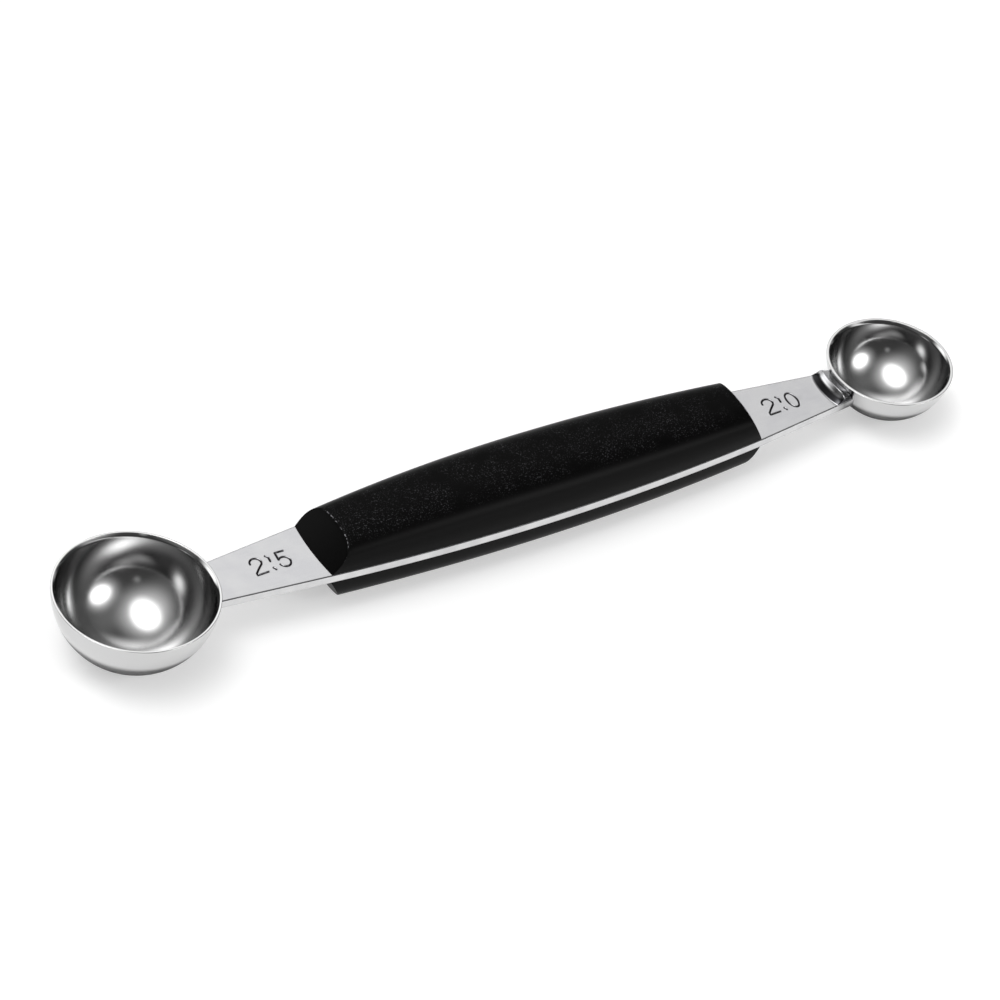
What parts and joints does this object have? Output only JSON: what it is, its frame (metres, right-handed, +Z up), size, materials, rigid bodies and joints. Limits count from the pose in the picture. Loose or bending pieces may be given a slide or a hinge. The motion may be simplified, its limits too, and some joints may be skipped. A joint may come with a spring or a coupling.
{
  "type": "melon baller",
  "caption": "Melon baller: a larger and a smaller hemispherical steel bowl at the ends of a flat steel strip, with black handle scales between them; scoops balls from soft fruit.",
  "frame": {"origin": "under the middle of the overall length, on the plane of symmetry, at the height of the large bowl's lowest point", "axes": "+X along the handle from the large bowl to the small bowl, +Z up out of the bowls' mouths, +Y to the left when facing +X"},
  "size_m": [0.1664, 0.0264, 0.0158],
  "materials": {
    "polished_steel": "mirror-polished stainless steel, not plated",
    "satin_steel": "satin stainless steel",
    "black_plastic": "moulded, fine grain on the crowns, smoother along the foot"
  },
  "bodies": {
    "root": {"large_bowl": "polished_steel", "small_bowl": "polished_steel", "strip": "satin_steel", "upper_scale": "black_plastic", "lower_scale": "black_plastic", "pin_large_end": "satin_steel", "pin_middle": "satin_steel", "pin_small_end": "satin_steel"}
  },
  "joints": []
}
